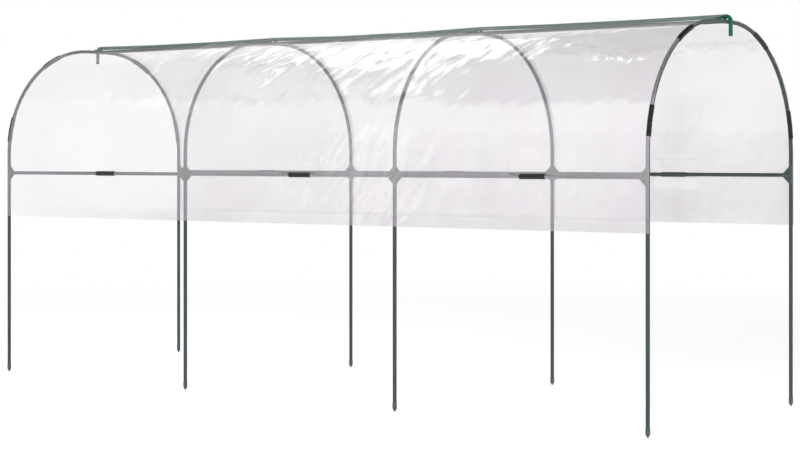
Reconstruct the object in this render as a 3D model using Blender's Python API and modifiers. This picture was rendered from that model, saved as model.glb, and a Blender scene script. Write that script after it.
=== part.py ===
"""Tunnel greenhouse: bent-tube hoops on pointed stakes, plug-in cross connectors, side and
ridge rails, a hooked ridge bar, one sheet of film over the arch, and ribbed press-on film clips.

Metres, +Z up, +X along the tunnel. The origin is on the ground under the middle of the tunnel.
Hoops and bays are numbered from -X to +X. The near side is -Y and the far side is +Y.
"""

import math

import bmesh
import bpy
import numpy as np
from mathutils import Matrix, Vector

# Tunnel layout
HOOP_COUNT = 4
HOOP_SPACING = 1.150
HOOP_WIDTH = 1.120  # leg centre to leg centre
RAIL_HEIGHT = 0.930  # ground to the side rails' centre line
HOOP_STRAIGHT = 0.094  # side rails' centre line to the start of the hoop's bend
BEND_SEGMENTS = 15  # straight steps in each hoop half's quarter bend

# Coated steel tube of the stakes, hoops and rails. The ridge bar has the same wall
TUBE_DIAMETER = 0.016
TUBE_WALL = 0.0006
TUBE_SIDES = 10

# Pointed cap pushed over the lower end of each stake
CAP_WALL = 0.001
CAP_SLEEVE = 0.024
CAP_POINT = 0.012
CAP_FLAT = 0.004  # diameter of the blunt tip

# Moulded cross and tee connectors
ARM_LENGTH = 0.036
SPIGOT_LENGTH = 0.030
SPIGOT_TAPER = 0.0006
WEB_THICKNESS = 0.003
WEB_LEDGE = 0.001  # how far inside the arms' ends and skin the corners of the webs lie
PAD_HEIGHT = 0.004  # of the pads that carry the ridge bar, over the connector's arms
PAD_WIDTH = 0.010
PAD_LEDGE = 0.001  # length of a pad past the hoop's centre line, on the side away from the rail

# Ridge bar: it lies beside the ridge rail and its hooks clasp the end hoops
BAR_DIAMETER = 0.016
BAR_SHIFT = 0.018  # its distance from the ridge rail, towards the far side
BAR_SAGS = (0.0065, 0.010, 0.0045)  # in each bay, from -X
BAR_SAG_STEPS = 3  # straight steps between two hoops
HOOK_DROP = 0.084  # top of the bar to the hook's end
HOOK_BEND_STEPS = 4

# Polyethylene film
FILM_THICKNESS = 0.0002
FILM_SKIRT = 0.201  # length below the side rails' centre line
FILM_OVERHANG = 0.010  # length past the end hoops' centre line
TENT_SPAN = 0.110  # from the ridge bar to where the film meets the arch again
TENT_CROWN = 0.003
TUCK_DEPTH = 0.0045  # how far a rail clip tucks the film in past the rail's centre line
TUCK_SPREAD = 0.004
TUCK_RAMP = 0.060

# Ribbed press-on film clips
CLIP_LENGTH = 0.115
CLIP_WALL = 0.0008
CLIP_LIP = 0.003  # how far the lips reach past the tube's centre line
CLIP_MARGIN = 0.003
RIB_COUNT = 7
RIB_HEIGHT = 0.0008
LOW_CLIP_ANGLE = 12.7  # degrees round the bend, from its lower end
HIGH_CLIP_ANGLE = 62.2
NEAR_CLIP_SHIFT = 0.080  # from the middle of the bay, towards +X
FAR_CLIP_SHIFT = 0.035

SEAT_GAP = 0.0003  # between pieces that touch

TUBE_RADIUS = TUBE_DIAMETER / 2
BAR_RADIUS = BAR_DIAMETER / 2
HALF_WIDTH = HOOP_WIDTH / 2
STRAIGHT_END = ARM_LENGTH + SPIGOT_LENGTH  # each hoop half stays straight where it is plugged
BEND_RADIUS = HALF_WIDTH - STRAIGHT_END
SPRING_HEIGHT = RAIL_HEIGHT + HOOP_STRAIGHT
HOOP_HEIGHT = SPRING_HEIGHT + BEND_RADIUS  # ground to the tube's centre line at the apex
CAP_HEIGHT = CAP_POINT + CAP_SLEEVE
TUBE_START = ARM_LENGTH + SEAT_GAP  # a tube's end, from the middle of its connector
HOOP_PLACES = [(i - (HOOP_COUNT - 1) / 2) * HOOP_SPACING for i in range(HOOP_COUNT)]
BAY_MIDDLES = [(a + b) / 2 for a, b in zip(HOOP_PLACES, HOOP_PLACES[1:])]

SHEET_OFFSET = TUBE_RADIUS + SEAT_GAP  # the tubes' centre line to the film's inner face
CLIP_RADIUS = SHEET_OFFSET + FILM_THICKNESS + SEAT_GAP
CLIP_HOLD = CLIP_LENGTH / 2 + CLIP_MARGIN  # half the length of film that a clip presses on
CORNER = math.tan(math.radians(22.5))  # half a side of an octagon round a circle of radius 1
BAR_REST = TUBE_RADIUS + PAD_HEIGHT + SEAT_GAP + BAR_RADIUS  # bar's beyond the tubes' centre line


class Arch:
    """Centre line of a whole hoop in its own (across, up) plane, from the near to the far ground.

    A position is the length along it, so on the near leg it is the height above the ground.
    """

    def __init__(self):
        angles = [math.radians(90) * i / BEND_SEGMENTS for i in range(BEND_SEGMENTS + 1)]
        near = [
            (
                -STRAIGHT_END - BEND_RADIUS * math.cos(angle),
                SPRING_HEIGHT + BEND_RADIUS * math.sin(angle),
            )
            for angle in angles
        ]
        far = [(-across, up) for across, up in reversed(near)]
        points = [(-HALF_WIDTH, 0.0), *near, *far, (HALF_WIDTH, 0.0)]
        self.points = np.array(points)
        steps = np.diff(self.points, axis=0)
        lengths = np.hypot(steps[:, 0], steps[:, 1])
        self.places = np.concatenate([[0.0], np.cumsum(lengths)])
        directions = steps / lengths[:, None]
        self.normals = np.stack([-directions[:, 1], directions[:, 0]], axis=1)
        self.length = self.places[-1]
        self.apex = self.length / 2
        self.bend_length = self.places[BEND_SEGMENTS + 1] - self.places[1]

    def bend_place(self, degrees):
        return self.places[1] + self.bend_length * degrees / 90

    def stations(self, start, end):
        """start, the corners between the two places, and end."""
        inside = [place for place in self.places if start + 1e-6 < place < end - 1e-6]
        return [start, *inside, end]

    def offset(self, place, out):
        """The point at a place, moved outwards square to the tube, and mitred at a corner."""
        index = int(np.searchsorted(self.places, place, side="right")) - 1
        index = min(max(index, 0), len(self.normals) - 1)
        along = (place - self.places[index]) / (self.places[index + 1] - self.places[index])
        point = self.points[index] + along * (self.points[index + 1] - self.points[index])
        normal = self.normals[index]
        if index > 0 and abs(place - self.places[index]) < 1e-6:
            corner = self.normals[index - 1] + normal
            normal = corner * 2 / np.dot(corner, corner)
        return point + normal * out


ARCH = Arch()
BAR_PLACE = ARCH.apex + BAR_SHIFT


def clear_scene():
    for obj in list(bpy.data.objects):
        bpy.data.objects.remove(obj)


def new_collection(name):
    collection = bpy.data.collections.new(name)
    bpy.context.scene.collection.children.link(collection)
    return collection


def new_material(name, colour, roughness, metallic=0.0, alpha=1.0):
    material = bpy.data.materials.new(name)
    material.use_nodes = True
    shader = material.node_tree.nodes["Principled BSDF"]
    shader.inputs["Base Color"].default_value = (*colour, 1.0)
    shader.inputs["Roughness"].default_value = roughness
    shader.inputs["Metallic"].default_value = metallic
    shader.inputs["Alpha"].default_value = alpha
    material.diffuse_color = (*colour, alpha)
    return material


def add_piece(name, data, material, matrix=None):
    """A named piece of the greenhouse from a mesh or a curve."""
    piece = bpy.data.objects.new(name, data)
    if not data.materials:
        data.materials.append(material)
    if matrix is not None:
        piece.matrix_world = matrix
    PARTS.objects.link(piece)
    return piece


def baked_mesh(obj, name):
    """The object's evaluated mesh under a new name. The object is removed."""
    graph = bpy.context.evaluated_depsgraph_get()
    mesh = bpy.data.meshes.new_from_object(obj.evaluated_get(graph))
    mesh.name = name
    mesh.materials.clear()
    bpy.data.objects.remove(obj)
    return mesh


def shade_round(mesh):
    mesh.shade_smooth()
    mesh.set_sharp_from_angle(angle=math.radians(40))


def turned(name, profile, sides):
    """A helper object turned about Z from (radius, height) points, running down the outside."""
    mesh = bpy.data.meshes.new(name)
    points = [(radius, 0.0, height) for radius, height in profile]
    mesh.from_pydata(points, [(i, i + 1) for i in range(len(points) - 1)], [])
    obj = bpy.data.objects.new(name, mesh)
    HELPERS.objects.link(obj)
    screw = obj.modifiers.new("Turn", "SCREW")
    screw.steps = screw.render_steps = sides
    screw.use_merge_vertices = True
    screw.merge_threshold = 0.00001
    return obj


def poly_curve(name, points, radius, sides):
    """A tube-shaped curve through the points, with the radius and a number of flat sides."""
    curve = bpy.data.curves.new(name, "CURVE")
    curve.dimensions = "3D"
    curve.bevel_depth = radius
    curve.bevel_resolution = sides // 2 - 2
    spline = curve.splines.new("POLY")
    spline.points.add(len(points) - 1)
    for target, point in zip(spline.points, points):
        target.co = (*point, 1.0)
    return curve


def hollow_tube(name, points, diameter, wall, material):
    """An open-ended tube along the points: the curve's skin, thickened inwards."""
    curve = poly_curve(name, points, diameter / 2, TUBE_SIDES)
    piece = add_piece(name, curve, material)
    bore = piece.modifiers.new("Wall", "SOLIDIFY")
    bore.thickness = wall
    bore.offset = -1.0
    return piece


def make_stakes(material):
    """Legs with a pointed cap: tube and cap are turned as one piece with an open bore."""
    bore = TUBE_RADIUS - TUBE_WALL
    cap = TUBE_RADIUS + CAP_WALL
    top = RAIL_HEIGHT - TUBE_START
    profile = [
        (0.0, CAP_POINT),
        (bore, CAP_POINT),
        (bore, top),
        (TUBE_RADIUS, top),
        (TUBE_RADIUS, CAP_HEIGHT),
        (cap, CAP_HEIGHT - CAP_WALL),
        (cap, CAP_POINT),
        (CAP_FLAT / 2, 0.0),
        (0.0, 0.0),
    ]
    mesh = baked_mesh(turned("stake", profile, TUBE_SIDES), "stake")
    shade_round(mesh)
    for number, place in enumerate(HOOP_PLACES, 1):
        for side, across in (("near", -HALF_WIDTH), ("far", HALF_WIDTH)):
            matrix = Matrix.Translation((place, across, 0.0))
            add_piece(f"stake_{side}_{number}", mesh, material, matrix)


def make_hoop_tubes(material):
    """Two halves a hoop, from the side connector's arm to the ridge connector's arm."""
    start = RAIL_HEIGHT + TUBE_START
    route = [ARCH.offset(place, 0.0) for place in ARCH.stations(start, ARCH.apex - TUBE_START)]
    for number, place in enumerate(HOOP_PLACES, 1):
        for side, sign in (("near", 1), ("far", -1)):
            points = [(place, sign * across, up) for across, up in route]
            name = f"hoop_tube_{side}_{number}"
            hollow_tube(name, points, TUBE_DIAMETER, TUBE_WALL, material)


def make_rails(material):
    """Straight tubes between neighbouring hoops, at both sides and along the ridge."""
    lines = (
        ("side_rail_near", -HALF_WIDTH, RAIL_HEIGHT),
        ("side_rail_far", HALF_WIDTH, RAIL_HEIGHT),
        ("ridge_rail", 0.0, HOOP_HEIGHT),
    )
    for name, across, up in lines:
        for number, (left, right) in enumerate(zip(HOOP_PLACES, HOOP_PLACES[1:]), 1):
            ends = [(left + TUBE_START, across, up), (right - TUBE_START, across, up)]
            hollow_tube(f"{name}_{number}", ends, TUBE_DIAMETER, TUBE_WALL, material)


def arm_profile(both_ways):
    """Half section of a connector's run: moulded body, shoulder, and tapered spigot."""
    spigot = (TUBE_RADIUS - TUBE_WALL) * math.cos(math.pi / TUBE_SIDES) - SEAT_GAP
    end = ARM_LENGTH + SPIGOT_LENGTH
    upper = [
        (0.0, end),
        (spigot - SPIGOT_TAPER, end),
        (spigot, ARM_LENGTH),
        (TUBE_RADIUS, ARM_LENGTH),
    ]
    if not both_ways:
        return [*upper, (TUBE_RADIUS, 0.0), (0.0, 0.0)]
    return upper + [(radius, -height) for radius, height in reversed(upper)]


def web_plate(name, corners):
    """A flat plate in the XZ plane with the corners as its outline."""
    curve = bpy.data.curves.new(name, "CURVE")
    curve.dimensions = "2D"
    curve.fill_mode = "BOTH"
    curve.extrude = WEB_THICKNESS / 2
    spline = curve.splines.new("POLY")
    spline.points.add(len(corners) - 1)
    for target, (along, up) in zip(spline.points, corners):
        target.co = (along, up, 0.0, 1.0)
    spline.use_cyclic_u = True
    flat = bpy.data.objects.new(name, curve)
    HELPERS.objects.link(flat)
    mesh = baked_mesh(flat, name)
    mesh.transform(Matrix.Rotation(math.radians(90), 4, "X"))
    edit = bmesh.new()
    edit.from_mesh(mesh)
    bmesh.ops.remove_doubles(edit, verts=edit.verts, dist=0.00001)
    edit.to_mesh(mesh)
    edit.free()
    plate = bpy.data.objects.new(name, mesh)
    HELPERS.objects.link(plate)
    return plate


def bar_pad(name, place):
    """A block on the hoop's run that stands up along Y, for the ridge bar to rest on."""
    edit = bmesh.new()
    bmesh.ops.create_cube(edit, size=1.0)
    mesh = bpy.data.meshes.new(name)
    top = TUBE_RADIUS + PAD_HEIGHT
    scale = Matrix.Diagonal((PAD_WIDTH, top, PAD_WIDTH, 1.0))
    middle = Matrix.Translation((PAD_WIDTH / 2 - PAD_LEDGE, top / 2, place))
    edit.transform(middle @ scale)
    edit.to_mesh(mesh)
    edit.free()
    pad = bpy.data.objects.new(name, mesh)
    HELPERS.objects.link(pad)
    return pad


def connector_mesh(name, rail_both_ways, pads=()):
    """A run along Z for the hoop, one or two arms along X for the rails, and webs between them."""
    run = turned(name, arm_profile(True), TUBE_SIDES)
    rail = turned(name + "_rail_arm", arm_profile(rail_both_ways), TUBE_SIDES)
    rail.rotation_euler = (0.0, math.radians(90), 0.0)
    reach = ARM_LENGTH - WEB_LEDGE
    root = TUBE_RADIUS - WEB_LEDGE
    right = [(root, reach), (reach, root), (reach, -root), (root, -reach)]
    left = [(0.0, -reach), (0.0, reach)]
    if rail_both_ways:
        left = [(-along, -up) for along, up in right]
    helpers = [rail, web_plate(name + "_web", right + left)]
    helpers += [bar_pad(name + "_pad", place) for place in pads]
    for helper in helpers:
        join = run.modifiers.new("Join", "BOOLEAN")
        join.operation = "UNION"
        join.object = helper
    bpy.context.view_layer.update()
    mesh = baked_mesh(run, name)
    for helper in helpers:
        bpy.data.objects.remove(helper)
    shade_round(mesh)
    return mesh


def make_connectors(material):
    """Crosses on the inner hoops and tees on the end hoops. Those at the ridge carry two pads."""
    pads = (-BAR_SHIFT, BAR_SHIFT)
    side_meshes = [connector_mesh("side_tee", False), connector_mesh("side_cross", True)]
    ridge_meshes = [
        connector_mesh("ridge_tee", False, pads),
        connector_mesh("ridge_cross", True, pads),
    ]
    lines = (
        ("side_connector_near", -HALF_WIDTH, RAIL_HEIGHT, 0.0, side_meshes),
        ("side_connector_far", HALF_WIDTH, RAIL_HEIGHT, 0.0, side_meshes),
        ("ridge_connector", 0.0, HOOP_HEIGHT, math.radians(90), ridge_meshes),
    )
    for name, across, up, tilt, (tee, cross) in lines:
        for number, place in enumerate(HOOP_PLACES, 1):
            mesh = tee if number in (1, HOOP_COUNT) else cross
            turn = math.radians(180) if number == HOOP_COUNT else 0.0
            matrix = (
                Matrix.Translation((place, across, up))
                @ Matrix.Rotation(turn, 4, "Z")
                @ Matrix.Rotation(tilt, 4, "X")
            )
            add_piece(f"{name}_{number}", mesh, material, matrix)


def bar_stations():
    steps = BAR_SAG_STEPS * (HOOP_COUNT - 1)
    return [HOOP_PLACES[0] + HOOP_SPACING * i / BAR_SAG_STEPS for i in range(steps + 1)]


def bar_sag(place):
    """How far the ridge bar hangs below its height over the hoops. It is straight in steps."""
    wave = [math.sin(math.pi * i / BAR_SAG_STEPS) ** 2 for i in range(BAR_SAG_STEPS)]
    depths = [sag * share for sag in BAR_SAGS for share in wave]
    return np.interp(place, bar_stations(), [*depths, 0.0])


def make_ridge_bar(material):
    """One bar over the ridge connectors' far pads, bent down in a hook past each end hoop."""
    last_hoop = HOOP_PLACES[-1]
    step = math.radians(90) / HOOK_BEND_STEPS
    reach = BAR_REST / math.cos(step / 2)
    bend = [
        (
            last_hoop + reach * math.sin((i + 0.5) * step),
            HOOP_HEIGHT + reach * math.cos((i + 0.5) * step),
        )
        for i in range(HOOK_BEND_STEPS)
    ]
    hook_end = (last_hoop + BAR_REST, HOOP_HEIGHT + BAR_REST + BAR_RADIUS - HOOK_DROP)
    end = [*bend, hook_end]
    middle = [(place, HOOP_HEIGHT + BAR_REST - bar_sag(place)) for place in bar_stations()]
    other_end = [(-place, up) for place, up in reversed(end)]
    points = [(place, BAR_SHIFT, up) for place, up in other_end + middle + end]
    hollow_tube("ridge_bar", points, BAR_DIAMETER, TUBE_WALL, material)


def pinch_weight(place, centre):
    """1 where a clip at the centre presses the film on its tube, falling to 0 past its ends."""
    past = abs(place - centre) - CLIP_HOLD
    return min(max(1 - past / TUCK_RAMP, 0.0), 1.0)


def clip_centres():
    """Places along the arch of the clips on an end hoop, near side first."""
    near = [ARCH.bend_place(LOW_CLIP_ANGLE), ARCH.bend_place(HIGH_CLIP_ANGLE)]
    return near + [ARCH.length - place for place in near]


def rail_clip_places(side):
    shift = NEAR_CLIP_SHIFT if side == "near" else FAR_CLIP_SHIFT
    return [middle + shift for middle in BAY_MIDDLES]


def rail_wrap():
    """How the film goes round a rail under a clip.

    Each entry is the offset across the tube of loose film, the offset of the same line of film
    when it is pressed on, and its height then over the tube's centre line.
    """
    radius = SHEET_OFFSET
    corner = radius * CORNER
    ramp = radius + TUCK_RAMP
    above = [
        (corner, corner, radius),
        (radius, radius, corner),
        (radius + TUCK_SPREAD, radius, -TUCK_DEPTH),
        (ramp, ramp, SHEET_OFFSET),
    ]
    below = [(-loose, -pressed, height) for loose, pressed, height in reversed(above)]
    return below + above


def hoop_wrap():
    """How the film's end folds down over an end hoop under a clip, listed as for a rail."""
    corner = SHEET_OFFSET * CORNER
    fold = (FILM_OVERHANG - corner) * math.cos(math.radians(45))
    return [
        (-FILM_OVERHANG, -corner - fold, SHEET_OFFSET - fold),
        (-corner, -corner, SHEET_OFFSET),
    ]


def film_rows():
    """Lines of film along the tunnel: (place along the arch, place and height when pressed on)."""
    hem = RAIL_HEIGHT - FILM_SKIRT
    plain = [*ARCH.stations(hem, ARCH.length - hem)]
    for centre in clip_centres():
        for reach in (CLIP_HOLD, CLIP_HOLD + TUCK_RAMP):
            plain += [centre - reach, centre + reach]
    for reach in (TENT_CROWN, TENT_SPAN):
        plain += [BAR_PLACE - reach, BAR_PLACE + reach]
    rows = [(place, None, None, None) for place in sorted({round(place, 6) for place in plain})]
    for side, rail in (("near", RAIL_HEIGHT), ("far", ARCH.length - RAIL_HEIGHT)):
        for loose, pressed, height in rail_wrap():
            rows.append((rail + loose, side, rail + pressed, height))
    return sorted(rows, key=lambda row: row[0])


def film_columns():
    """Lines of film across the tunnel: (place along X, place and height when pressed on)."""
    plain = bar_stations()
    for side in ("near", "far"):
        for centre in rail_clip_places(side):
            for reach in (CLIP_HOLD, CLIP_HOLD + TUCK_RAMP):
                plain += [centre - reach, centre + reach]
    columns = [(place, None, None) for place in sorted({round(place, 6) for place in plain})]
    for hoop, inwards in ((HOOP_PLACES[0], 1), (HOOP_PLACES[-1], -1)):
        for loose, pressed, height in hoop_wrap():
            columns.append((hoop + inwards * loose, hoop + inwards * pressed, height))
    return sorted(columns, key=lambda column: column[0])


def loose_height(place, along):
    """Height of the loose film's inner face over the hoops' centre line."""
    slope = TENT_SPAN - TENT_CROWN
    share = 1 - (abs(place - BAR_PLACE) - TENT_CROWN) / slope
    over_bar = BAR_REST + BAR_RADIUS + SEAT_GAP - bar_sag(along)
    return SHEET_OFFSET + (over_bar - SHEET_OFFSET) * min(max(share, 0.0), 1.0)


def film_point(row, column):
    place, side, pressed_place, pressed_height = row
    along, hoop_along, hoop_height = column
    height = loose_height(place, along)
    if side is not None:
        weight = max(pinch_weight(column[0], centre) for centre in rail_clip_places(side))
        place += (pressed_place - place) * weight
        height += (pressed_height - height) * weight
    if hoop_along is not None:
        weight = max(pinch_weight(row[0], centre) for centre in clip_centres())
        along += (hoop_along - along) * weight
        height += (hoop_height - height) * weight
    across, up = ARCH.offset(place, height)
    return (along, across, up)


def merge_tent_steps(edit, rows, columns, grid):
    """Leaves the tent over the ridge bar folded only where the bar's own straight steps meet."""
    stations = bar_stations()
    tent = [i for i, row in enumerate(rows) if abs(row[0] - BAR_PLACE) < TENT_SPAN + 1e-6]
    extra = []
    for j in range(1, len(columns) - 1):
        if min(abs(columns[j][0] - station) for station in stations) < 1e-6:
            continue
        extra += [edit.edges.get((grid[i][j], grid[i + 1][j])) for i in tent[:-1]]
    bmesh.ops.dissolve_edges(edit, edges=extra, use_verts=True)


def mark_rail_bands(edit, rows, grid):
    """Keeps the fold lines above and below each side's rail clips, so no face goes round a clip."""
    for side in ("near", "far"):
        band = [i for i, row in enumerate(rows) if row[1] == side]
        for i in (band[0], band[-1]):
            for left, right in zip(grid[i], grid[i][1:]):
                edit.edges.get((left, right)).seam = True


def merge_flat_faces(edit):
    """Joins faces that lie in one plane, and takes out the points that they no longer need."""
    edit.normal_update()
    bmesh.ops.dissolve_limit(
        edit,
        angle_limit=math.radians(0.1),
        use_dissolve_boundaries=True,
        delimit={"SEAM"},
        verts=edit.verts,
        edges=edit.edges,
    )


def make_film(material):
    """One sheet over the arch, lifted over the ridge bar and pressed onto the tubes at the clips."""
    rows = film_rows()
    columns = film_columns()
    edit = bmesh.new()
    grid = [[edit.verts.new(film_point(row, column)) for column in columns] for row in rows]
    for lower, upper in zip(grid, grid[1:]):
        for i in range(len(columns) - 1):
            edit.faces.new((lower[i], lower[i + 1], upper[i + 1], upper[i]))
    mark_rail_bands(edit, rows, grid)
    merge_tent_steps(edit, rows, columns, grid)
    merge_flat_faces(edit)
    bmesh.ops.triangulate(edit, faces=edit.faces)
    mesh = bpy.data.meshes.new("film_cover")
    edit.to_mesh(mesh)
    edit.free()
    film = add_piece("film_cover", mesh, material)
    sheet = film.modifiers.new("Film", "SOLIDIFY")
    sheet.thickness = FILM_THICKNESS
    sheet.offset = 1.0


def rib_height(share):
    """Height of the ribs at a share of the clip's length: RIB_COUNT ridges with valleys between."""
    phase = share * RIB_COUNT % 1.0
    return RIB_HEIGHT * (1 - abs(2 * phase - 1))


def clip_section(outer):
    """Half an octagon with straight lips round the tube, as (across, out) points."""
    radius = CLIP_RADIUS
    outside = [(radius + outer, -CLIP_LIP), (radius + outer, (radius + outer) * CORNER)]
    outside.append(((radius + outer) * CORNER, radius + outer))
    inside = [(radius, -CLIP_LIP), (radius, radius * CORNER), (radius * CORNER, radius)]
    left = [(-across, out) for across, out in outside]
    left_inside = [(-across, out) for across, out in inside]
    return left + outside[::-1] + inside + left_inside[::-1]


def clip_mesh(name, start, end, corners, point_at):
    """A ribbed clip along a tube, from start to end, with a ring at each rib, valley and corner."""
    ribs = [start + (end - start) * i / (2 * RIB_COUNT) for i in range(2 * RIB_COUNT + 1)]
    edit = bmesh.new()
    rings = []
    for place in sorted({*ribs, *corners}):
        share = (place - start) / (end - start)
        section = clip_section(CLIP_WALL + rib_height(share))
        rings.append([edit.verts.new(point_at(place, across, out)) for across, out in section])
    for ring, following in zip(rings, rings[1:]):
        for i in range(len(ring)):
            j = (i + 1) % len(ring)
            edit.faces.new((ring[i], ring[j], following[j], following[i]))
    edit.faces.new(rings[0])
    edit.faces.new(rings[-1])
    bmesh.ops.recalc_face_normals(edit, faces=edit.faces)
    merge_flat_faces(edit)
    mesh = bpy.data.meshes.new(name)
    edit.to_mesh(mesh)
    edit.free()
    shade_round(mesh)
    return mesh


def make_hoop_clips(material):
    """Four clips on each end hoop, bent with it and pressed on from the tunnel's end.

    Each has its origin on the tube's centre line.
    """
    half_turn = Matrix.Rotation(math.radians(180), 4, "Z")
    for level, centre in zip(("low", "high"), clip_centres()):
        start = centre - CLIP_LENGTH / 2
        end = centre + CLIP_LENGTH / 2
        corners = ARCH.stations(start, end)[1:-1]
        origin = Vector((0.0, *ARCH.offset(centre, 0.0)))
        name = f"hoop_clip_{level}"
        for number, other_end, outwards in ((1, HOOP_COUNT, -1), (HOOP_COUNT, 1, 1)):

            def point_at(place, across, out):
                return Vector((outwards * out, *ARCH.offset(place, across))) - origin

            mesh = clip_mesh(f"{name}_{number}", start, end, corners, point_at)
            near = Matrix.Translation((HOOP_PLACES[number - 1], 0.0, 0.0))
            far = Matrix.Translation((HOOP_PLACES[other_end - 1], 0.0, 0.0)) @ half_turn
            seat = Matrix.Translation(origin)
            add_piece(f"{name}_near_{number}", mesh, material, near @ seat)
            add_piece(f"{name}_far_{other_end}", mesh, material, far @ seat)


def make_rail_clips(material):
    """One clip on each side rail, near the middle of its bay."""

    def point_at(place, across, out):
        return Vector((place, -out, across))

    mesh = clip_mesh("rail_clip", -CLIP_LENGTH / 2, CLIP_LENGTH / 2, [], point_at)
    for side, across, turn in (("near", -HALF_WIDTH, 0.0), ("far", HALF_WIDTH, 180.0)):
        for number, place in enumerate(rail_clip_places(side), 1):
            matrix = Matrix.Translation((place, across, RAIL_HEIGHT)) @ Matrix.Rotation(
                math.radians(turn), 4, "Z"
            )
            add_piece(f"rail_clip_{side}_{number}", mesh, material, matrix)


def make_greenhouse():
    coated = new_material("coated_steel_tube", (0.060, 0.095, 0.085), 0.45)
    moulded = new_material("green_polypropylene", (0.110, 0.180, 0.160), 0.50)
    bar_green = new_material("green_coated_bar", (0.010, 0.130, 0.090), 0.35)
    clip_black = new_material("black_polypropylene", (0.030, 0.028, 0.030), 0.40)
    clear = new_material("polyethylene_film", (0.850, 0.850, 0.870), 0.15, alpha=0.25)
    make_stakes(coated)
    make_hoop_tubes(coated)
    make_rails(coated)
    make_connectors(moulded)
    make_ridge_bar(bar_green)
    make_film(clear)
    make_hoop_clips(clip_black)
    make_rail_clips(clip_black)


clear_scene()
PARTS = new_collection("tunnel_greenhouse")
HELPERS = new_collection("cutters")
make_greenhouse()
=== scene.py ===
"""Looks of a tunnel greenhouse: coated tube hoops under one creased sheet of clear film.

Metres, +Z up, +X along the tunnel. The near side is -Y and the far side is +Y. In the film's
functions, along is x, and place is a length over the arch from the foot of a near leg.
"""

import math

import bpy
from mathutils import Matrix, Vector, noise


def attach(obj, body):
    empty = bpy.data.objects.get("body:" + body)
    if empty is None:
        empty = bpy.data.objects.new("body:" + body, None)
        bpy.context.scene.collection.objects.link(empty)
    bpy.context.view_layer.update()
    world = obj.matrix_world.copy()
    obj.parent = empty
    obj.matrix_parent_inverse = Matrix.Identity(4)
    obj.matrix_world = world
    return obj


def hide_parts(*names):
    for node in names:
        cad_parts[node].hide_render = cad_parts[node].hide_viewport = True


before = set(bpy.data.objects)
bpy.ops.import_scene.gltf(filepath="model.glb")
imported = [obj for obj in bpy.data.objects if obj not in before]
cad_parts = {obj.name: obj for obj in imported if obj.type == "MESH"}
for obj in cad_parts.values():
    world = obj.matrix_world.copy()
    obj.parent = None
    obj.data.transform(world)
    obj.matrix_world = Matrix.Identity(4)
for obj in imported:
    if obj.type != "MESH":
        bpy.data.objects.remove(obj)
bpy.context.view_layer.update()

# The frame's own sizes
HOOPS = (-1.725, -0.575, 0.575, 1.725)  # where they stand along the tunnel
HALF_WIDTH = 0.560  # to the legs' centre lines
RAIL_HEIGHT = 0.930
BEND_START = 1.024  # top of the straight leg
BEND_RADIUS = 0.494
CROWN_STRAIGHT = 0.066  # straight at each side of the apex
BAR_SHIFT = 0.018  # of the ridge bar from the apex, towards the far side
BAR_TOP = 0.0283  # top of the ridge bar above the hoops' centre line
BAR_SAGS = (0.0065, 0.010, 0.0045)  # in each bay, from -X
BAR_THIRD_SAG = 0.75  # share of its bay's sag that the bar has in the middle third
CAP_HEIGHT = 0.036  # of the pointed cap under a stake

# How the film is cut and held
HEM_HEIGHT = 0.729
FILM_END = 1.735
FILM_LIFT = 0.0084  # tube's centre line to the middle of the film
CLIP_HALF = 0.0605  # half of a clip's length
TUCK = 0.0045  # how far a clip tucks the film in behind its rail's centre line
TUCK_SPREAD = 0.004  # film at each side of the rail that goes into the tuck
RAMP = 0.060  # in which the film comes back from a clip to the smooth arch
LOOSE_FOLD = 0.55  # share of the fold round an end hoop that stays between its clips
HOOP_CLIP_DEGREES = (12.7, 62.2)  # up the bend from its start
RAIL_CLIP_SHIFTS = (0.080, 0.035)  # from the middle of a bay towards +X: near side, far side

# The film's tent over the ridge bar
TENT_FLAT = 0.004  # half of the strip that lies on the bar
TENT_SPREAD = 0.108  # width of the slope at each side
TENT_BULGE = 0.06  # how far the slopes are rounded
BAR_CLEARANCE = 0.0004  # top of the bar to the middle of the film

# Distances from a support at which the film starts to sag or crease, and does so freely
SAG_OFF_RAIL = (0.02, 0.16)
SAG_OFF_BAR = (0.10, 0.22)
CREASES_OFF_HOOP = (0.012, 0.07)
CREASES_OFF_RAIL = (0.012, 0.06)
CREASES_OFF_BAR = (0.03, 0.10)

# Sag, creases and billows of the loose film
SAG = 0.006
HIGH = (1.15, 1.35)  # place from either foot where the high creases start, and are whole
TIGHT_END = (0.85, 1.2)  # along, where the film starts to be pulled tighter, and is tightest
TIGHTENING = 0.8  # share of the high creases that this takes out
PATCHES = (-0.35, 0.2)  # noise levels at which a patch of creases starts, and is whole
LEAN = 0.75  # of the creases from the tunnel's length, in radians, opposite on the far side
FINE_LEAN = 0.7  # share of that lean in the fine creases
FINE_EVERYWHERE = 0.3  # share of the fine creases that is there outside the patches too
CREASE_SIZE = (0.34, 0.11)  # length and gap
FINE_CREASE_SIZE = (0.16, 0.035)
BUCKLE_SIZE = (0.28, 0.08)
CREASE_SHARPNESS = 2.2
CREASE_POWER = 3  # how much a crease steepens towards its top
CREASE_WANDER = 0.35  # sideways, in gaps
WANDER_RATE = (0.7, 0.3)  # changes of the wander over a crease's length, and over its gap
PATCH_RATE = (1.7, 2.2)  # changes a metre along the tunnel, and over the arch
BILLOW_RATE = (3.1, 2.3)
RIPPLE_RATE = 7.0
HEM_EDGE = 0.10  # width of the strip along the hem that ripples
CREASE_HEIGHT = 0.004
FINE_CREASE_HEIGHT = 0.0012
BUCKLE_HEIGHT = 0.008
BILLOW_HEIGHT = 0.0022
RIPPLE_HEIGHT = 0.0020

# Grid of the film's mesh
STEP = 0.012
FINE_STEP = 0.0022  # at tubes, where the film bends round them
FINE_REACH = 0.014
STEP_GROWTH = 0.16

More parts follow.
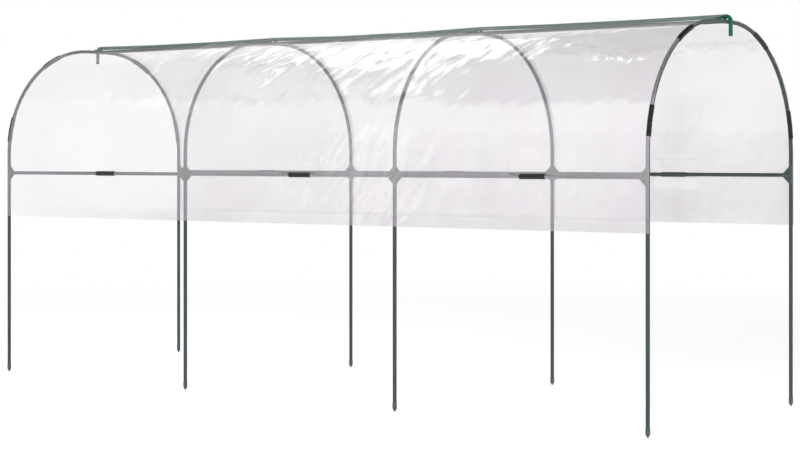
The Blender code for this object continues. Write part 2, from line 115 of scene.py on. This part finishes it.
BAY = HOOPS[1] - HOOPS[0]
BEND_LENGTH = BEND_RADIUS * math.pi / 2
ARCH_LENGTH = 2 * (BEND_START + BEND_LENGTH + CROWN_STRAIGHT)
BAR_PLACE = ARCH_LENGTH / 2 + BAR_SHIFT
FAR_RAIL_PLACE = ARCH_LENGTH - RAIL_HEIGHT
FAR_HEM_PLACE = ARCH_LENGTH - HEM_HEIGHT

# Parts of the film's finish: name, axis, where a share is 0, where it is 1, and its ease
FILM_ZONES = (
    ("near", "Y", 0.3, -0.1, "LINEAR"),
    ("far", "Y", -0.1, 0.3, "LINEAR"),
    ("past_ridge", "Y", 0.05, 0.12, "LINEAR"),
    ("low", "Z", 1.15, 0.73, "SMOOTHSTEP"),
    ("hem", "Z", 0.79, 0.762, "LINEAR"),
    ("past_first_bay", "X", -1.6, -0.5, "LINEAR"),
    ("last_bay", "X", 0.6, 1.2, "LINEAR"),
)
# Parts where two others meet. The near side past the first bay, its strip at the hem, and the low
# far side at the open end are where painted shade darkens the film
FILM_OVERLAPS = (
    ("near_past_first_bay", "near", "past_first_bay"),
    ("near_hem_band", "near_past_first_bay", "hem"),
    ("low_near", "near_past_first_bay", "low"),
    ("end_far", "far", "last_bay"),
    ("low_end_far", "end_far", "low"),
)
# What each part adds to the density of the veil, and to the painted shade that darkens the film
# towards the hem, the far side and the last bay
FILM_GAINS = (
    ("veil", "low_end_far", 0.5),
    ("veil", "last_bay", 0.12),
    ("veil", "end_far", 0.08),
    ("veil", "low_near", 0.2),
    ("veil", "near_hem_band", 0.4),
    ("painted_shade", "low_near", 0.6),
    ("painted_shade", "near_hem_band", 0.6),
    ("painted_shade", "low_end_far", 0.4),
    ("painted_shade", "far", 0.7),
    ("painted_shade", "end_far", 0.5),
)
# The film's own colour, and the darker grey of the painted shade
UNSHADED_FILM = "#E5DAE7"
SHADED_FILM = "#A99DAB"

TUBE_DARK = "#293732"
TUBE_LIGHT = "#34423D"
CAP_GREEN = "#3F5249"
WHITE = (1.0, 1.0, 1.0, 1.0)

# The studio
FLOOR_RADIUS = 30.0
FLOOR_DROP = 0.0015  # below the tips of the stakes
FLOOR_LIFT = 0.50  # glow that keeps the floor pale; near the tunnel every ray sees it, so the floor also lights the tunnel from below
CEILING_START = (0.55, 0.61)  # sines of the angles above level between which the walls end
CEILING_LEVEL = 0.16
SOFT_LEVEL = 0.8  # of the room's light on a surface that doesn't mirror it
LAMP_HEIGHT = 4.3
# Softboxes in the ceiling that the film mirrors: place, size, watts, and turn in degrees
CEILING_LAMPS = {
    "ridge_strip": ((-1.93, 0.95), (1.65, 2.1), 21.8, 7),
    "shoulder_strip": ((-1.72, -0.4), (0.7, 0.8), 3.5, 0),
    "near_strip": ((-2.02, -1.6), (0.45, 2.2), 5.0, -13),
    "end_strip": ((-3.95, 1.85), (2.5, 2.3), 11.7, 0),
    "small_spot": ((-0.36, -0.4), (0.10, 0.20), 0.4, 0),
}


def linear(hex_colour):
    """sRGB hex to the linear colour that a shader takes."""
    values = [int(hex_colour[i : i + 2], 16) / 255 for i in (1, 3, 5)]
    return (*[v / 12.92 if v <= 0.04045 else ((v + 0.055) / 1.055) ** 2.4 for v in values], 1.0)


def add_node(owner, kind, inputs=(), **settings):
    """A node in a material or world. An input is a value, or the socket that it is linked from."""
    tree = owner.node_tree
    node = tree.nodes.new(kind)
    for name, value in settings.items():
        setattr(node, name, value)
    for name, value in dict(inputs).items():
        if isinstance(value, bpy.types.NodeSocket):
            tree.links.new(value, node.inputs[name])
        else:
            node.inputs[name].default_value = value
    return node


def link(owner, socket, node, name):
    owner.node_tree.links.new(socket, node.inputs[name])


def smoothstep(low, high, value):
    """0 at low and 1 at high, with an eased change between them."""
    share = min(max((value - low) / (high - low), 0.0), 1.0)
    return share * share * (3 - 2 * share)


def new_finish(name, colour, roughness):
    """A material, its shader, and object coordinates in metres."""
    material = bpy.data.materials.new(name)
    material.use_nodes = True
    shader = material.node_tree.nodes["Principled BSDF"]
    shader.inputs["Base Color"].default_value = linear(colour)
    shader.inputs["Roughness"].default_value = roughness
    place = add_node(material, "ShaderNodeTexCoord").outputs["Object"]
    return material, shader, place


def two_tone(material, place, scale, low, high, dark, light):
    """A cloudy mix of two colours. low and high are the noise levels where it changes."""
    cloud = add_node(
        material,
        "ShaderNodeTexNoise",
        {"Vector": place, "Scale": scale, "Detail": 4.0, "Roughness": 0.6},
    )
    ramp = add_node(material, "ShaderNodeValToRGB", {"Fac": cloud.outputs["Fac"]})
    for end, level, colour in zip(ramp.color_ramp.elements, (low, high), (dark, light)):
        end.position = level
        end.color = linear(colour)
    return ramp.outputs["Color"]


def coated_tube_finish(name, dark, light, roughness, shine=0.5):
    """Steel tube in extruded PVC: a satin skin with a faint orange peel and rubbed patches.

    shine is the strength of its mirror image, and 0.5 is the plain value.
    """
    material, shader, place = new_finish(name, dark, roughness)
    # Patches of tone of about 35 mm
    colour = two_tone(material, place, scale=28.0, low=0.35, high=0.7, dark=dark, light=light)
    link(material, colour, shader, "Base Color")
    # Orange peel of about 1.5 mm
    peel = add_node(
        material, "ShaderNodeTexNoise", {"Vector": place, "Scale": 650.0, "Detail": 1.0}
    )
    bump = add_node(
        material,
        "ShaderNodeBump",
        {"Height": peel.outputs["Fac"], "Strength": 0.12, "Distance": 0.0004},
    )
    link(material, bump.outputs["Normal"], shader, "Normal")
    # Rubbed patches of about 17 mm
    rub = add_node(material, "ShaderNodeTexNoise", {"Vector": place, "Scale": 60.0, "Detail": 5.0})
    level = add_node(
        material,
        "ShaderNodeMapRange",
        {
            "Value": rub.outputs["Fac"],
            "From Min": 0.3,
            "From Max": 0.7,
            "To Min": roughness - 0.08,
            "To Max": roughness + 0.12,
        },
    )
    link(material, level.outputs["Result"], shader, "Roughness")
    shader.inputs["IOR"].default_value = 1.53
    shader.inputs["Specular IOR Level"].default_value = shine
    return material


def stake_finish():
    """The tube's coat, and below it the paler moulded polyethylene of the pointed cap."""
    material = coated_tube_finish("pvc_coated_stake", TUBE_DARK, TUBE_LIGHT, 0.42)
    shader = material.node_tree.nodes["Principled BSDF"]
    coat = shader.inputs["Base Color"].links[0].from_socket
    place = add_node(material, "ShaderNodeTexCoord").outputs["Object"]
    axes = add_node(material, "ShaderNodeSeparateXYZ", {"Vector": place})
    cap = add_node(
        material,
        "ShaderNodeMath",
        {0: axes.outputs["Z"], 1: CAP_HEIGHT},
        operation="LESS_THAN",
    )
    # A colour mix takes its colours at sockets 6 and 7, and gives the mix at 2
    colour = add_node(
        material,
        "ShaderNodeMix",
        data_type="RGBA",
        inputs={0: cap.outputs["Value"], 6: coat, 7: linear(CAP_GREEN)},
    )
    link(material, colour.outputs[2], shader, "Base Color")
    return material


def moulded_finish(name, dark, light, roughness, grain, shine=0.5):
    """Injection-moulded polypropylene: a matte spark-eroded grain of about 1 / grain metres."""
    material, shader, place = new_finish(name, dark, roughness)
    # Patches of tone of about 22 mm
    colour = two_tone(material, place, scale=45.0, low=0.3, high=0.75, dark=dark, light=light)
    link(material, colour, shader, "Base Color")
    fine = add_node(
        material, "ShaderNodeTexNoise", {"Vector": place, "Scale": grain, "Detail": 2.0}
    )
    bump = add_node(
        material,
        "ShaderNodeBump",
        {"Height": fine.outputs["Fac"], "Strength": 0.25, "Distance": 0.0003},
    )
    link(material, bump.outputs["Normal"], shader, "Normal")
    shader.inputs["IOR"].default_value = 1.49
    shader.inputs["Specular IOR Level"].default_value = shine
    return material


def film_shares(material, place):
    """How far a point of the film belongs to each part of it, as sockets from 0 to 1."""
    axes = add_node(material, "ShaderNodeSeparateXYZ", {"Vector": place})
    shares = {}
    for name, axis, start, end, ease in FILM_ZONES:
        zone = add_node(
            material,
            "ShaderNodeMapRange",
            {"Value": axes.outputs[axis], "From Min": start, "From Max": end},
            interpolation_type=ease,
        )
        shares[name] = zone.outputs["Result"]
    for name, one, other in FILM_OVERLAPS:
        both = add_node(
            material, "ShaderNodeMath", {0: shares[one], 1: shares[other]}, operation="MULTIPLY"
        )
        shares[name] = both.outputs["Value"]
    # Film over the crown is clearer, with less haze and gloss than the sides
    near_slope = add_node(
        material,
        "ShaderNodeMapRange",
        {
            "Value": axes.outputs["Y"],
            "From Min": -0.25,
            "From Max": -0.20,
            "To Min": 1.0,
            "To Max": 0.45,
        },
        interpolation_type="SMOOTHSTEP",
    )
    off_crown = add_node(
        material,
        "ShaderNodeMath",
        {0: near_slope.outputs["Result"], 1: shares["past_ridge"]},
        operation="MAXIMUM",
    )
    shares["off_crown"] = off_crown.outputs["Value"]
    return shares


def film_veil(material, shader, place, shares):
    """The milky haze in the film, and painted shade: a thicker, darker veil towards the hem, the
    far side and the last bay.
    """
    totals = {"veil": 1.0, "painted_shade": 0.0}
    for total, part, gain in FILM_GAINS:
        raised = add_node(
            material,
            "ShaderNodeMath",
            {0: shares[part], 1: gain, 2: totals[total]},
            operation="MULTIPLY_ADD",
        )
        totals[total] = raised.outputs["Value"]
    # Clouds of haze of about 330 mm
    haze = add_node(
        material,
        "ShaderNodeTexNoise",
        {"Vector": place, "Scale": 3.0, "Detail": 3.0, "Roughness": 0.5},
    )
    veil = add_node(
        material,
        "ShaderNodeMapRange",
        {
            "Value": haze.outputs["Fac"],
            "From Min": 0.3,
            "From Max": 0.7,
            "To Min": 0.17,
            "To Max": 0.29,
        },
    )
    density = veil.outputs["Result"]
    # The veil is thicker where the painted shade lies, and thinner over the crown
    for factor in (totals["veil"], shares["off_crown"]):
        thicker = add_node(
            material, "ShaderNodeMath", {0: density, 1: factor}, operation="MULTIPLY"
        )
        density = thicker.outputs["Value"]
    link(material, density, shader, "Alpha")
    # Painted shade: the colour darkens towards the hem, the far side and the last bay
    colour = add_node(material, "ShaderNodeValToRGB", {"Fac": totals["painted_shade"]})
    colour.color_ramp.elements[0].color = linear(UNSHADED_FILM)
    colour.color_ramp.elements[1].color = linear(SHADED_FILM)
    link(material, colour.outputs["Color"], shader, "Base Color")


def film_shine(material, shares, normal):
    """How much of the room the film mirrors, as a socket from 0 to 1."""
    # Two faces reflect nearly twice as much as one. Handling scuffs dull it edge-on.
    face = add_node(material, "ShaderNodeFresnel", {"IOR": 1.51, "Normal": normal})
    both = add_node(
        material,
        "ShaderNodeMapRange",
        {
            "Value": face.outputs["Fac"],
            "From Min": 0.04,
            "From Max": 0.20,
            "To Min": 0.15,
            "To Max": 0.25,
        },
    )
    # Film in the first bay is scuffed, and shines less
    smooth = add_node(
        material,
        "ShaderNodeMapRange",
        {"Value": shares["past_first_bay"], "From Min": 0.3, "To Min": 0.35, "To Max": 1.0},
    )
    shine = both.outputs["Result"]
    for factor in (shares["off_crown"], smooth.outputs["Result"]):
        duller = add_node(material, "ShaderNodeMath", {0: shine, 1: factor}, operation="MULTIPLY")
        shine = duller.outputs["Value"]
    return shine


def film_finish():
    """Blown polyethylene film: a thin grey-white veil, with the gloss of both its faces."""
    material, shader, place = new_finish("blown_polyethylene_film", UNSHADED_FILM, 0.45)
    shader.inputs["Specular IOR Level"].default_value = 0.0  # the gloss is the second shader
    shares = film_shares(material, place)
    film_veil(material, shader, place, shares)
    # Soft crinkles about 150 mm long and 65 mm apart, rising at a slant towards +X
    stretched = add_node(
        material,
        "ShaderNodeMapping",
        {"Vector": place, "Rotation": (0.0, -0.9, 0.0), "Scale": (0.15, 0.065, 0.065)},
        vector_type="TEXTURE",
    )
    crinkle = add_node(
        material,
        "ShaderNodeTexNoise",
        {"Vector": stretched.outputs["Vector"], "Scale": 1.0, "Detail": 2.0, "Roughness": 0.4},
    )
    bump = add_node(
        material,
        "ShaderNodeBump",
        {"Height": crinkle.outputs["Fac"], "Strength": 0.4, "Distance": 0.011},
    )
    normal = bump.outputs["Normal"]
    link(material, normal, shader, "Normal")
    gloss = add_node(
        material,
        "ShaderNodeBsdfGlossy",
        {"Color": WHITE, "Roughness": 0.12, "Normal": normal},
    )
    film = add_node(
        material,
        "ShaderNodeMixShader",
        {
            0: film_shine(material, shares, normal),
            1: shader.outputs["BSDF"],
            2: gloss.outputs["BSDF"],
        },
    )
    link(material, film.outputs["Shader"], material.node_tree.nodes["Material Output"], "Surface")
    return material


TUBE_COAT = coated_tube_finish("pvc_coated_steel_tube", TUBE_DARK, TUBE_LIGHT, 0.42)
STAKE_COAT = stake_finish()
BAR_COAT = coated_tube_finish("green_coated_bar", "#005340", "#045F4E", 0.36, shine=0.3)
CONNECTOR_PLASTIC = moulded_finish(
    "moulded_green_polypropylene", "#3A4842", "#47564F", 0.55, grain=900.0
)
CLIP_PLASTIC = moulded_finish(
    "moulded_black_polypropylene", "#141214", "#1B181A", 0.42, grain=1200.0, shine=0.36
)
FILM = film_finish()


def paint_frame():
    for name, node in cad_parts.items():
        finish = TUBE_COAT
        if "connector" in name:
            finish = CONNECTOR_PLASTIC
        elif "clip" in name:
            finish = CLIP_PLASTIC
        elif name == "ridge_bar":
            finish = BAR_COAT
        elif name.startswith("stake"):
            finish = STAKE_COAT
        for slot in node.material_slots:
            slot.material = finish


def arch_point(place, out):
    """Point (across, up) at a place on a hoop's centre line, moved outwards."""
    if place > ARCH_LENGTH / 2:
        across, up = arch_point(ARCH_LENGTH - place, out)
        return -across, up
    if place < BEND_START:
        return -HALF_WIDTH - out, place
    if place < BEND_START + BEND_LENGTH:
        angle = (place - BEND_START) / BEND_RADIUS
        reach = BEND_RADIUS + out
        return -CROWN_STRAIGHT - reach * math.cos(angle), BEND_START + reach * math.sin(angle)
    return place - ARCH_LENGTH / 2, BEND_START + BEND_RADIUS + out


def clip_weight(distance):
    """1 where a clip presses the film on its tube, easing to 0 past its ends."""
    return 1 - smoothstep(CLIP_HALF, CLIP_HALF + RAMP, abs(distance))


def round_rail(offset):
    """Where film at an offset from a rail goes when a clip presses it on: (offset, height)."""
    side = 1 if offset > 0 else -1
    length = abs(offset)
    tucked = FILM_LIFT + TUCK_SPREAD
    if length < FILM_LIFT:
        turn = length / FILM_LIFT * math.pi / 2
        return side * FILM_LIFT * math.sin(turn), FILM_LIFT * math.cos(turn)
    if length < tucked:
        return side * FILM_LIFT, -TUCK * (length - FILM_LIFT) / TUCK_SPREAD
    share = smoothstep(tucked, FILM_LIFT + RAMP, length)
    across = FILM_LIFT + (length - tucked) * RAMP / (RAMP - TUCK_SPREAD)
    return side * across, -TUCK + (FILM_LIFT + TUCK) * share


def round_hoop(offset):
    """Where film at an offset from an end hoop goes when its end is folded down round the tube."""
    if offset > 0:
        return offset, FILM_LIFT
    turn = -offset / FILM_LIFT
    return -FILM_LIFT * math.sin(turn), FILM_LIFT * math.cos(turn)


def hoop_clip_places():
    near = [BEND_START + BEND_RADIUS * math.radians(d) for d in HOOP_CLIP_DEGREES]
    return near + [ARCH_LENGTH - place for place in near]


def rail_clip_places(side):
    shift = RAIL_CLIP_SHIFTS[side]
    return [(a + b) / 2 + shift for a, b in zip(HOOPS, HOOPS[1:])]


def bay_share(along):
    """0 at the hoops and 1 in the middle of a bay."""
    if not HOOPS[0] < along < HOOPS[-1]:
        return 0.0
    return math.sin(math.pi * (along - HOOPS[0]) / BAY) ** 2


def bar_sag(along):
    """The ridge bar hangs in straight thirds between the hoops."""
    bay = min(max(int((along - HOOPS[0]) / BAY), 0), len(BAR_SAGS) - 1)
    share = min(max((along - HOOPS[bay]) / BAY, 0.0), 1.0)
    return BAR_SAGS[bay] * BAR_THIRD_SAG * min(3 * share, 1.0, 3 * (1 - share))


def drift(u, v, seed):
    """Smooth noise about 0. Each seed gives another pattern."""
    return noise.noise(Vector((u, v, seed)))


def crease(along, place, turn, size, seed):
    """Sharp-topped ridges of a length and gap, lying at an angle to the tunnel: 0 to 1."""
    length, gap = size
    u = along * math.cos(turn) + place * math.sin(turn)
    v = -along * math.sin(turn) + place * math.cos(turn)
    wander = drift(u / length * WANDER_RATE[0], v / gap * WANDER_RATE[1], seed + 9.0)
    value = drift(u / length, v / gap + CREASE_WANDER * wander, seed)
    return max(1 - abs(value) * CREASE_SHARPNESS, 0.0) ** CREASE_POWER


def tent_height(along, from_bar):
    """Height of smooth film over the hoops' centre line: on the bar, and sloping down from it."""
    top = BAR_TOP + BAR_CLEARANCE - bar_sag(along)
    tent = max(0.0, 1 - max(from_bar - TENT_FLAT, 0.0) / TENT_SPREAD)
    return FILM_LIFT + (top - FILM_LIFT) * (tent + TENT_BULGE * tent * (1 - tent))


def crease_height(along, place):
    """Creases and buckles, strongest near the ridge, with billows, and ripples along the hem."""
    near = place < ARCH_LENGTH / 2
    lean = LEAN if near else -LEAN
    strong = smoothstep(*PATCHES, drift(along * PATCH_RATE[0], place * PATCH_RATE[1], seed=4.0))
    strong *= 1 - TIGHTENING * smoothstep(*TIGHT_END, along)
    strong *= smoothstep(*HIGH, place) * smoothstep(*HIGH, ARCH_LENGTH - place)
    across = -along * math.sin(lean) + place * math.cos(lean)
    length = along * math.cos(lean) + place * math.sin(lean)
    buckle = drift(length / BUCKLE_SIZE[0], across / BUCKLE_SIZE[1], seed=31.0)
    large = crease(along, place, lean, CREASE_SIZE, seed=1.0)
    fine = crease(along, place, lean * FINE_LEAN, FINE_CREASE_SIZE, seed=7.0)
    fine *= FINE_EVERYWHERE + (1 - FINE_EVERYWHERE) * strong
    edge = smoothstep(HEM_EDGE, 0.0, min(place - HEM_HEIGHT, FAR_HEM_PLACE - place))
    ripple = drift(along * RIPPLE_RATE, 0.0, seed=20.0 if near else 30.0)
    billow = drift(along * BILLOW_RATE[0], place * BILLOW_RATE[1], seed=12.0)
    height = strong * (CREASE_HEIGHT * large + BUCKLE_HEIGHT * buckle)
    height += FINE_CREASE_HEIGHT * fine
    return height + BILLOW_HEIGHT * billow + RIPPLE_HEIGHT * edge * ripple


def film_height(along, place):
    """Height of the loose film over the hoops' centre line, with its tent, sag and creases."""
    from_bar = abs(place - BAR_PLACE)
    from_rail = min(abs(place - RAIL_HEIGHT), abs(FAR_RAIL_PLACE - place))
    from_hoop = min(abs(along - hoop) for hoop in HOOPS)
    height = tent_height(along, from_bar)
    if RAIL_HEIGHT <= place <= FAR_RAIL_PLACE:
        free = smoothstep(*SAG_OFF_RAIL, from_rail) * smoothstep(*SAG_OFF_BAR, from_bar)
        height -= SAG * bay_share(along) * free
    loose = smoothstep(*CREASES_OFF_HOOP, from_hoop) * smoothstep(*CREASES_OFF_RAIL, from_rail)
    loose *= smoothstep(*CREASES_OFF_BAR, from_bar)
    return height + loose * crease_height(along, place)


def film_point(along, place):
    """A point of the film, where the arch, its looseness and the clips put it."""
    height = film_height(along, place)
    side = 0 if place < ARCH_LENGTH / 2 else 1
    rail = (RAIL_HEIGHT, FAR_RAIL_PLACE)[side]
    moved_place, moved_along = place, along
    if abs(place - rail) < FILM_LIFT + RAMP:
        weight = max(clip_weight(along - clip) for clip in rail_clip_places(side))
        across, up = round_rail(place - rail)
        moved_place += (rail + across - place) * weight
        height += (up - height) * weight
    for hoop, inwards in ((HOOPS[0], 1), (HOOPS[-1], -1)):
        offset = (along - hoop) * inwards
        if offset < 0:
            held = max(clip_weight(place - clip) for clip in hoop_clip_places())
            weight = LOOSE_FOLD + (1 - LOOSE_FOLD) * held
            across, up = round_hoop(offset)
            moved_along += (hoop + inwards * across - along) * weight
            height += (up - FILM_LIFT) * weight
    return (moved_along, *arch_point(moved_place, height))


def lines(start, end, centres):
    """Places from start to end, closer together near the centres."""
    places = [start]
    while places[-1] < end:
        here = places[-1]
        near = min(abs(here - centre) for centre in centres)
        growth = STEP_GROWTH * max(near - FINE_REACH, 0.0)
        places.append(here + min(STEP, FINE_STEP + growth))
    places[-1] = end
    return places


def make_film():
    rows = lines(HEM_HEIGHT, FAR_HEM_PLACE, (RAIL_HEIGHT, BAR_PLACE, FAR_RAIL_PLACE))
    columns = lines(-FILM_END, FILM_END, (HOOPS[0], HOOPS[-1]))
    points = [film_point(along, place) for place in rows for along in columns]
    across = len(columns)
    faces = [
        (i * across + j, i * across + j + 1, (i + 1) * across + j + 1, (i + 1) * across + j)
        for i in range(len(rows) - 1)
        for j in range(across - 1)
    ]
    mesh = bpy.data.meshes.new("film_sheet")
    mesh.from_pydata(points, [], faces)
    mesh.shade_smooth()
    mesh.materials.append(FILM)
    film = bpy.data.objects.new("film_sheet", mesh)
    bpy.context.scene.collection.objects.link(film)
    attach(film, "frame")
    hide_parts("film_cover")


def make_stage():
    """A pale floor that fades into the white backdrop, and keeps the soft shadow of the tunnel.
    Near the tunnel it glows for every ray, and so lights the tunnel from below.
    """
    bpy.ops.mesh.primitive_circle_add(vertices=96, radius=FLOOR_RADIUS, fill_type="NGON")
    floor = bpy.context.object
    floor.name = "studio_floor"
    floor.location.z = -FLOOR_DROP
    material, shader, place = new_finish("matte_studio_floor", "#F4F4F4", 0.9)
    distance = add_node(material, "ShaderNodeVectorMath", {0: place}, operation="LENGTH")
    fade = add_node(
        material,
        "ShaderNodeMapRange",
        {"Value": distance.outputs["Value"], "From Min": 2.5, "From Max": 7.0},
    )
    seen = add_node(material, "ShaderNodeLightPath").outputs["Is Camera Ray"]
    share = add_node(
        material, "ShaderNodeMath", {0: fade.outputs["Result"], 1: seen}, operation="MULTIPLY"
    )
    white = add_node(material, "ShaderNodeEmission", {"Color": WHITE, "Strength": 1.0})
    lift = add_node(material, "ShaderNodeEmission", {"Color": WHITE, "Strength": FLOOR_LIFT})
    shown = add_node(
        material, "ShaderNodeAddShader", {0: shader.outputs["BSDF"], 1: lift.outputs["Emission"]}
    )
    mixed = add_node(
        material,
        "ShaderNodeMixShader",
        {0: share.outputs["Value"], 1: shown.outputs["Shader"], 2: white.outputs["Emission"]},
    )
    link(material, mixed.outputs["Shader"], material.node_tree.nodes["Material Output"], "Surface")
    floor.data.materials.append(material)


def make_world():
    """A studio with white walls, and a dimmer ceiling from about 35 degrees up."""
    world = bpy.data.worlds.new("white_studio")
    bpy.context.scene.world = world
    world.use_nodes = True
    background = world.node_tree.nodes["Background"]
    background.inputs["Color"].default_value = WHITE
    direction = add_node(world, "ShaderNodeTexCoord").outputs["Generated"]
    height = add_node(world, "ShaderNodeSeparateXYZ", {"Vector": direction})
    room = add_node(
        world,
        "ShaderNodeMapRange",
        {
            "Value": height.outputs["Z"],
            "From Min": CEILING_START[0],
            "From Max": CEILING_START[1],
            "To Min": 1.0,
            "To Max": CEILING_LEVEL,
        },
        interpolation_type="SMOOTHSTEP",
    )
    path = add_node(world, "ShaderNodeLightPath")
    seen = path.outputs["Is Camera Ray"]
    for ray in ("Is Glossy Ray", "Is Transmission Ray"):
        either = add_node(
            world, "ShaderNodeMath", {0: seen, 1: path.outputs[ray]}, operation="MAXIMUM"
        )
        seen = either.outputs["Value"]
    level = add_node(
        world, "ShaderNodeMapRange", {"Value": seen, "To Min": SOFT_LEVEL, "To Max": 1.0}
    )
    strength = add_node(
        world,
        "ShaderNodeMath",
        {0: level.outputs["Result"], 1: room.outputs["Result"]},
        operation="MULTIPLY",
    )
    link(world, strength.outputs["Value"], background, "Strength")


def make_light(name, place, target, size, watts, in_gloss=True, turn=0):
    """A softbox that faces a target. turn is in degrees round the vertical."""
    light = bpy.data.lights.new(name, "AREA")
    light.shape = "RECTANGLE"
    light.size, light.size_y = size
    light.energy = watts
    lamp = bpy.data.objects.new(name, light)
    lamp.location = place
    lamp.visible_glossy = in_gloss
    lamp.rotation_euler = (Vector(target) - Vector(place)).to_track_quat("-Z", "Y").to_euler()
    lamp.rotation_euler.z += math.radians(turn)
    bpy.context.scene.collection.objects.link(lamp)


def make_lights():
    for name, (spot, size, watts, turn) in CEILING_LAMPS.items():
        make_light(name, (*spot, LAMP_HEIGHT), (*spot, 0.0), size, watts, turn=turn)
    make_light("left_softbox", (-4.0, -1.2, 4.4), (-1.2, -1.2, 1.3), (3.6, 2.0), 12.0)
    make_light("tall_panel", (-2.1, -3.7, 1.5), (0.45, -0.56, 1.1), (0.3, 1.8), 1.0)
    # The fills light the tubes' near sides, and stay out of the film's mirror image
    front = (3.5, -5.5, 3.5)
    make_light("front_fill", front, (0.0, 0.0, 0.8), (3.0, 2.0), 102.0, in_gloss=False)
    right = (6.0, -1.2, 2.0)
    make_light("side_fill", right, (0.0, 0.0, 0.7), (2.0, 2.0), 60.0, in_gloss=False)


def make_camera():
    """Level, beside the near right corner, with the picture shifted down."""
    camera = bpy.data.cameras.new("camera")
    camera.lens = 85.73
    camera.sensor_width = 36.0
    camera.shift_y = -0.0847
    eye = bpy.data.objects.new("camera", camera)
    eye.location = (5.224, -6.453, 0.998)
    eye.rotation_euler = (math.radians(90), 0.0, math.radians(38.11))
    bpy.context.scene.collection.objects.link(eye)
    bpy.context.scene.camera = eye


bpy.context.scene.view_settings.view_transform = "Standard"
paint_frame()
make_film()
make_stage()
make_world()
make_lights()
make_camera()
